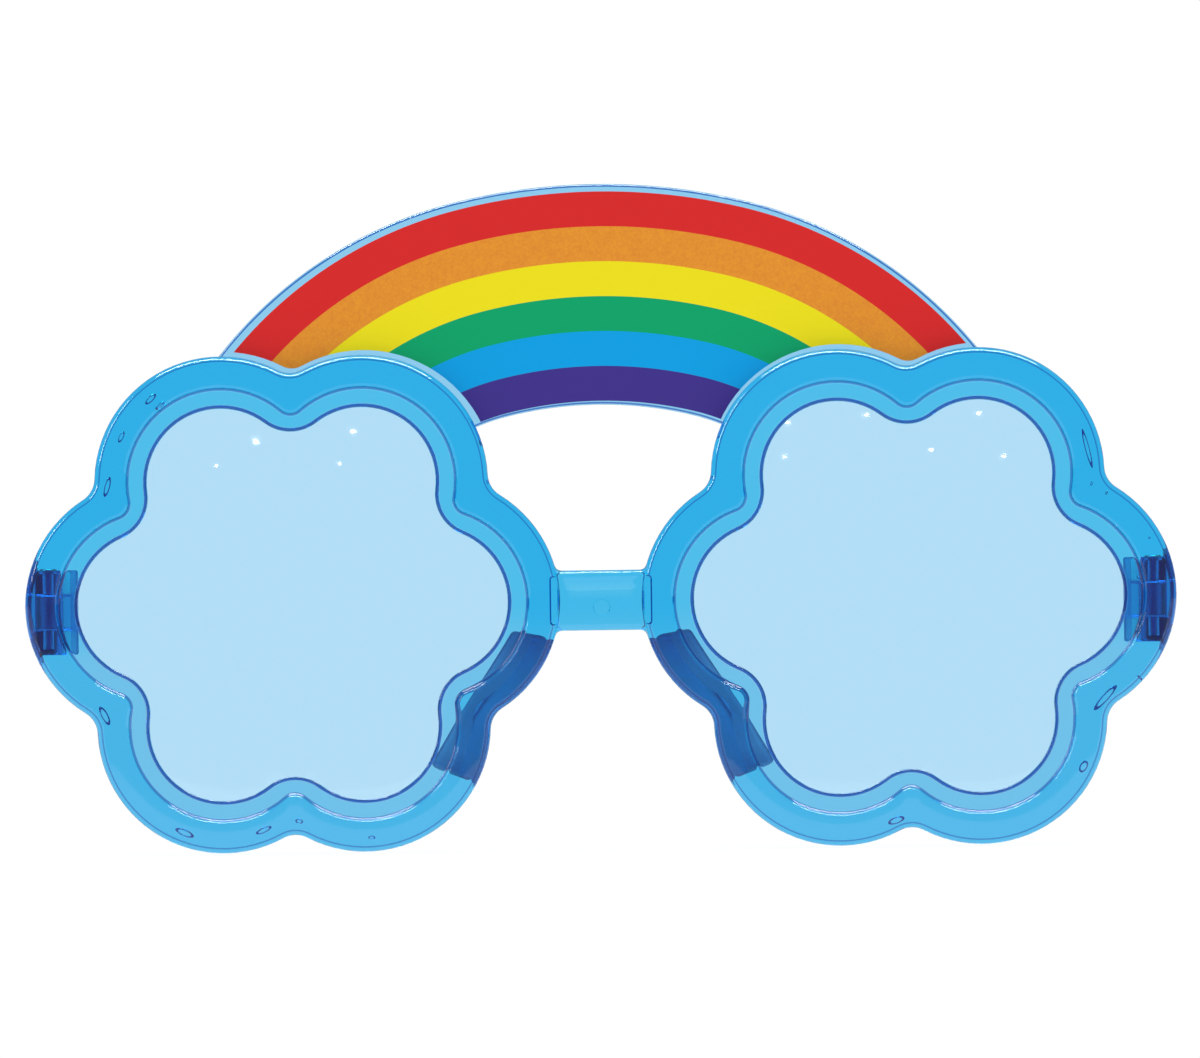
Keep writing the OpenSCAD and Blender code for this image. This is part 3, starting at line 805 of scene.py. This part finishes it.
def clearStyrene(name, tintAndPaintedShade):
    # Clear polystyrene: glossy, and bluer the thicker the wall, with a faint swell and handling marks
    material, tree = newMaterial(name)
    place = addNode(tree, "ShaderNodeTexCoord")
    ripple = addNoise(tree, place, styrene["swellSize"], styrene["swellDetail"])
    swell = addBump(tree, styrene["swellRelief"], ripple)
    handling = addNoise(tree, place, styrene["marksSize"], styrene["marksDetail"])
    gloss = addNode(tree, "ShaderNodeMapRange", {"To Max": styrene["marksRoughness"]},
                    {"Value": handling.outputs["Fac"]})
    shader = addNode(tree, "ShaderNodeBsdfPrincipled", {
        "Base Color": tintAndPaintedShade["wall"], "IOR": styrene["ior"], "Transmission Weight": 1.0},
        {"Normal": swell.outputs["Normal"], "Roughness": gloss.outputs["Result"]})
    if "edge" in tintAndPaintedShade:
        # The nose pads and hinges come out of the mould with a matt texture
        matt = addNode(tree, "ShaderNodeAttribute", {"attribute_name": "mattTexture"})
        texture = addNode(tree, "ShaderNodeMath", {"operation": "MULTIPLY_ADD", 1: tintAndPaintedShade["mattRoughness"]},
                          {0: matt.outputs["Fac"], 2: gloss.outputs["Result"]})
        tree.links.new(texture.outputs["Value"], shader.inputs["Roughness"])
        # Painted shade: the marked faces along the moulded edges are painted a deep blue, standing in for
        # light that runs along them, and a bubble's wall has no tint
        edge = addNode(tree, "ShaderNodeAttribute", {"attribute_name": "edgeTint"})
        air = addNode(tree, "ShaderNodeAttribute", {"attribute_name": "airWall"})
        plain = addNode(tree, "ShaderNodeMix", {"data_type": "RGBA", 6: tintAndPaintedShade["wall"], 7: (1, 1, 1, 1)},
                        {0: air.outputs["Fac"]})
        mixed = addNode(tree, "ShaderNodeMix", {"data_type": "RGBA", 7: tintAndPaintedShade["edge"]},
                        {0: edge.outputs["Fac"], 6: plain.outputs[2]})
        tree.links.new(mixed.outputs[2], shader.inputs["Base Color"])
        # The rounded edges waver a little where they are glossy
        facing = addNode(tree, "ShaderNodeSeparateXYZ", None, {0: place.outputs["Normal"]})
        front = addNode(tree, "ShaderNodeMath", {"operation": "ABSOLUTE"}, {0: facing.outputs["Y"]})
        rest = addNode(tree, "ShaderNodeMath", {"operation": "SUBTRACT", 0: 1.0}, {1: front.outputs["Value"]})
        slanted = addNode(tree, "ShaderNodeMath", {"operation": "MULTIPLY"}, {
            0: front.outputs["Value"], 1: rest.outputs["Value"]})
        rounded = addNode(tree, "ShaderNodeMapRange", {"From Max": styrene["fullWaverAt"]},
                          {"Value": slanted.outputs["Value"]})
        glossy = addNode(tree, "ShaderNodeMath", {"operation": "SUBTRACT", "use_clamp": True}, {
            0: rounded.outputs["Result"], 1: matt.outputs["Fac"]})
        waver = addNoise(tree, place, styrene["waverSize"], styrene["waverDetail"])
        uneven = addNode(tree, "ShaderNodeBump", {"Distance": styrene["waverDistance"]}, {
            "Strength": glossy.outputs["Value"], "Height": waver.outputs["Fac"],
            "Normal": swell.outputs["Normal"]})
        tree.links.new(uneven.outputs["Normal"], shader.inputs["Normal"])
    strongest = max(tintAndPaintedShade["perMillimetre"])
    passed = tuple(1 - share / strongest for share in tintAndPaintedShade["perMillimetre"]) + (1,)
    absorb = addNode(tree, "ShaderNodeVolumeAbsorption", {"Color": passed, "Density": strongest / millimetre})
    if "paler" in tintAndPaintedShade:
        height = addNode(tree, "ShaderNodeSeparateXYZ", None, {0: place.outputs["Object"]})
        lower = addNode(tree, "ShaderNodeMapRange", {
            "From Min": tintAndPaintedShade["palerFrom"], "From Max": tintAndPaintedShade["palerTo"]}, {"Value": height.outputs["Z"]})
        palePassed = tuple(1 - share / strongest for share in tintAndPaintedShade["paler"]) + (1,)
        either = addNode(tree, "ShaderNodeMix", {"data_type": "RGBA", 6: passed, 7: palePassed},
                         {0: lower.outputs["Result"]})
        tree.links.new(either.outputs[2], absorb.inputs["Color"])
    addNode(tree, "ShaderNodeOutputMaterial", None, {
        "Surface": shader.outputs["BSDF"], "Volume": absorb.outputs["Volume"]})
    return material


# The printed surface, with sizes in metres
laminate = {"dotSize": 0.00042, "mottleSize": 0.0011, "mottleDetail": 4.0, "relief": (0.1, 0.00002),
            "grain": 0.06, "roughness": 0.35, "ior": 1.5, "specular": 0.1}


def printedInk(name, colour, speck, grain=laminate["grain"]):
    # Screen-printed ink under a clear laminate: even, slightly glossy, with a fine halftone grain
    material, tree = newMaterial(name)
    place = addNode(tree, "ShaderNodeTexCoord")
    dots = addNode(tree, "ShaderNodeTexVoronoi", {"Scale": 1 / laminate["dotSize"]},
                   {"Vector": place.outputs["Object"]})
    mottle = addNoise(tree, place, laminate["mottleSize"], laminate["mottleDetail"])
    cloud = addNode(tree, "ShaderNodeMath", {"operation": "MULTIPLY", 1: grain}, {0: mottle.outputs["Fac"]})
    share = addNode(tree, "ShaderNodeMath", {"operation": "MULTIPLY_ADD", 1: grain}, {
        0: dots.outputs["Distance"], 2: cloud.outputs["Value"]})
    mix = addNode(tree, "ShaderNodeMix", {"data_type": "RGBA", 6: toLinear(colour), 7: toLinear(speck)},
                  {0: share.outputs["Value"]})
    level = addBump(tree, laminate["relief"], mottle)
    shader = addNode(tree, "ShaderNodeBsdfPrincipled", {
        "Roughness": laminate["roughness"], "IOR": laminate["ior"],
        "Specular IOR Level": laminate["specular"]},
        {"Base Color": mix.outputs[2], "Normal": level.outputs["Normal"]})
    addNode(tree, "ShaderNodeOutputMaterial", None, {"Surface": shader.outputs["BSDF"]})
    return material


steelSurface = {"colour": "c9c7c2", "roughness": 0.28, "marksSize": 0.0003, "marksDetail": 2.0,
                "relief": (0.15, 0.00002)}


def turnedSteel():
    # Nickel-plated steel: bright, with fine tool marks
    material, tree = newMaterial("turnedSteel")
    place = addNode(tree, "ShaderNodeTexCoord")
    marks = addBump(tree, steelSurface["relief"],
                    addNoise(tree, place, steelSurface["marksSize"], steelSurface["marksDetail"]))
    shader = addNode(tree, "ShaderNodeBsdfPrincipled", {
        "Base Color": toLinear(steelSurface["colour"]), "Metallic": 1.0,
        "Roughness": steelSurface["roughness"]}, {"Normal": marks.outputs["Normal"]})
    addNode(tree, "ShaderNodeOutputMaterial", None, {"Surface": shader.outputs["BSDF"]})
    return material


inks = {  # base colour, the colour of the halftone specks, and for one how strongly they show
    "red": ("d72828", "c21f24"),
    "orange": ("ea9f2c", "cf6a30", 0.35),
    "yellow": ("ecdf18", "d9c815"),
    "green": ("02a368", "039460"),
    "blue": ("009ee2", "0392d4"),
    "violet": ("40328b", "382a7e"),
}
filmColours = ("f4f4f2", "e9e9e6")


def dress(piece, material, body, node):
    piece.data.materials.clear()
    piece.data.materials.append(material)
    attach(piece, body)
    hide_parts(node)


moulded = clearStyrene("clearBlueMouldedStyrene", mouldedTintAndPaintedShade)
sheet = clearStyrene("paleBlueStyreneSheet", lensTint)
dress(makeFrontFrame(), moulded, "front", "front_frame")
lenses = [makeLens(name + "Lens", side) for side, name in ((1, "left"), (-1, "right"))]
for piece, name in zip(lenses, ("left", "right")):
    dress(piece, sheet, "front", name + "_lens")
print("lenses fitted")
steel = turnedSteel()
for side, name in ((1, "left"), (-1, "right")):
    dress(makeTemple(name + "Temple", side), moulded, name + "_arm", name + "_temple")
    dress(makeScrew(name + "HingeScrew", side), steel, "front", name + "_hinge_screw")
print("temples hinged")
film, *stripes = makeSticker()
dress(film, printedInk("whiteVinylFilm", *filmColours), "front", "sticker_film")
for name, stripe in zip(stripeNames, stripes):
    ink = printedInk(name + "PrintedInk", *inks[name])
    dress(stripe, ink, "front", name + "_stripe")


# A plain white studio: a pale floor, a white surround and softboxes above
studio = {"floorRadius": 1.2, "floorSides": 96, "floorDrop": 0.0002, "floorColour": "626262",
          "floorGlow": 0.9, "surround": 1.02, "reflectedSurround": 0.37, "sides": (0.7, 0.64, 0.56, 1),
          "sideStart": 0.75, "sideEnd": 0.4}


def paleFloor():
    # Matt white paper, lit from below as well, so that its shadows stay faint
    material, tree = newMaterial("paleFloor")
    matt = addNode(tree, "ShaderNodeBsdfDiffuse", {"Color": toLinear(studio["floorColour"])})
    glow = addNode(tree, "ShaderNodeEmission", {"Color": (1, 1, 1, 1), "Strength": studio["floorGlow"]})
    both = addNode(tree, "ShaderNodeAddShader", None, {0: matt.outputs["BSDF"], 1: glow.outputs["Emission"]})
    addNode(tree, "ShaderNodeOutputMaterial", None, {"Surface": both.outputs["Shader"]})
    bm = bmesh.new()
    bmesh.ops.create_circle(bm, cap_ends=True, segments=studio["floorSides"], radius=studio["floorRadius"])
    bmesh.ops.translate(bm, verts=bm.verts, vec=(0, 0, -studio["floorDrop"]))
    floor = finishMesh(bm, "floor")
    floor.data.materials.append(material)


def whiteSurround():
    # White in front and behind, darker to the sides as seen through the plastic, and dim in its gloss
    world = bpy.data.worlds.new("whiteSurround")
    bpy.context.scene.world = world
    world.use_nodes = True
    tree = world.node_tree
    tree.nodes.clear()
    path = addNode(tree, "ShaderNodeLightPath")
    direction = addNode(tree, "ShaderNodeTexCoord")
    towards = addNode(tree, "ShaderNodeSeparateXYZ", None, {0: direction.outputs["Generated"]})
    ahead = addNode(tree, "ShaderNodeMath", {"operation": "ABSOLUTE"}, {0: towards.outputs["Y"]})
    side = addNode(tree, "ShaderNodeMapRange", {
        "interpolation_type": "SMOOTHSTEP", "From Min": studio["sideStart"], "From Max": studio["sideEnd"]},
        {"Value": ahead.outputs["Value"]})
    bent = addNode(tree, "ShaderNodeMath", {"operation": "MULTIPLY"}, {
        0: side.outputs["Result"], 1: path.outputs["Is Transmission Ray"]})
    level = addNode(tree, "ShaderNodeMix", {"data_type": "RGBA", 6: (studio["surround"],) * 3 + (1,),
                                            7: studio["sides"]}, {0: bent.outputs["Value"]})
    seen = addNode(tree, "ShaderNodeBackground", None, {"Color": level.outputs[2]})
    mirroredRoom = addNode(tree, "ShaderNodeBackground", {
        "Color": (1, 1, 1, 1), "Strength": studio["reflectedSurround"]})
    mirrors = addNode(tree, "ShaderNodeMath", {"operation": "MULTIPLY"}, {
        0: path.outputs["Is Glossy Ray"], 1: path.outputs["Is Reflection Ray"]})
    both = addNode(tree, "ShaderNodeMixShader", None, {
        0: mirrors.outputs["Value"], 1: seen.outputs["Background"], 2: mirroredRoom.outputs["Background"]})
    addNode(tree, "ShaderNodeOutputWorld", None, {"Surface": both.outputs["Shader"]})


softboxes = (  # name, place, target, width, height, watts
    ("topSoftbox", (0, -0.25, 0.9), (0, -0.07, 0.05), 1.1, 0.3, 16),
    ("leftSoftbox", (-0.9, -0.6, 0.5), (0, -0.07, 0.05), 0.25, 0.6, 4),
)


def addSoftboxes():
    for name, place, target, width, height, watts in softboxes:
        light = bpy.data.lights.new(name, "AREA")
        light.shape, light.size, light.size_y, light.energy = "RECTANGLE", width, height, watts
        box = bpy.data.objects.new(name, light)
        box.location = place
        box.visible_diffuse = False  # the surround lights the matt pieces already
        box.rotation_euler = (Vector(target) - Vector(place)).to_track_quat("-Z", "Y").to_euler()
        bpy.context.scene.collection.objects.link(box)


# Small bright lamps, each mirrored once by a lens: which side, where it shows on the lens, from the middle,
# and the lamp's width, in mm
glints = (
    (-1, -4.7, 23.3, 0.8), (-1, 8.7, 24.1, 0.9), (-1, -10.5, 19.8, 0.5), (-1, 6.8, 19.5, 0.55),
    (1, -16.8, 24.6, 0.75), (1, -5.6, 25.6, 0.8), (1, -17.2, 19.7, 0.5), (1, 10.0, 25.5, 0.75),
    (1, 3.4, 20.4, 0.6), (1, 13.6, 19.6, 0.55),
)
glintLamp = {"distance": 0.2, "flatness": 0.5, "radiance": 60}


def addGlints():
    # The lamps reach the lenses alone
    lit = bpy.data.collections.new("lensesLit")
    for piece in lenses:
        lit.objects.link(piece)
    lensFront = rearY - lensRecess - lens["thickness"]
    cameraPlace = Vector((view["aimX"], view["frontPlane"] - view["distance"], view["aimZ"]))
    for i, (side, x, z, size) in enumerate(glints):
        light = bpy.data.lights.new("glintLamp" + str(i + 1), "AREA")
        width, height = size * millimetre, size * millimetre * glintLamp["flatness"]
        light.shape, light.size, light.size_y = "ELLIPSE", width, height
        light.energy = glintLamp["radiance"] * math.pi * math.pi * width * height / 4
        lamp = bpy.data.objects.new(light.name, light)
        spot = Vector((side * rim["halfSpacing"] + x, lensFront, rimZ + z)) * millimetre
        sight = spot - cameraPlace
        sight *= glintLamp["distance"] / sight.y
        lamp.location = spot + Vector((sight.x, -sight.y, sight.z))
        lamp.rotation_euler = (spot - lamp.location).to_track_quat("-Z", "Y").to_euler()
        lamp.visible_camera = lamp.visible_diffuse = lamp.visible_transmission = False
        lamp.light_linking.receiver_collection = lit
        bpy.context.scene.collection.objects.link(lamp)


# The camera looks level from far in front, rolled a little as the photograph is, with sizes in metres and the
# sensor in mm
view = {"distance": 5.0, "frameWidth": 0.1674, "aimX": 0.0, "aimZ": 0.0446, "rollDegrees": 0.72,
        "frontPlane": -0.072, "sensorWidth": 36, "clipEnd": 200}


def addCamera():
    data = bpy.data.cameras.new("camera")
    data.sensor_width = view["sensorWidth"]
    data.lens = data.sensor_width * view["distance"] / view["frameWidth"]
    data.clip_end = view["clipEnd"]
    camera = bpy.data.objects.new("camera", data)
    roll = Matrix.Rotation(math.radians(view["rollDegrees"]), 4, "Y")
    level = Matrix.Rotation(math.radians(90), 4, "X")
    place = (view["aimX"], view["frontPlane"] - view["distance"], view["aimZ"])
    camera.matrix_world = Matrix.Translation(place) @ roll @ level
    bpy.context.scene.collection.objects.link(camera)
    bpy.context.scene.camera = camera


paleFloor()
whiteSurround()
addSoftboxes()
addGlints()
addCamera()
bpy.context.scene.view_settings.view_transform = "Standard"
print("studio set")
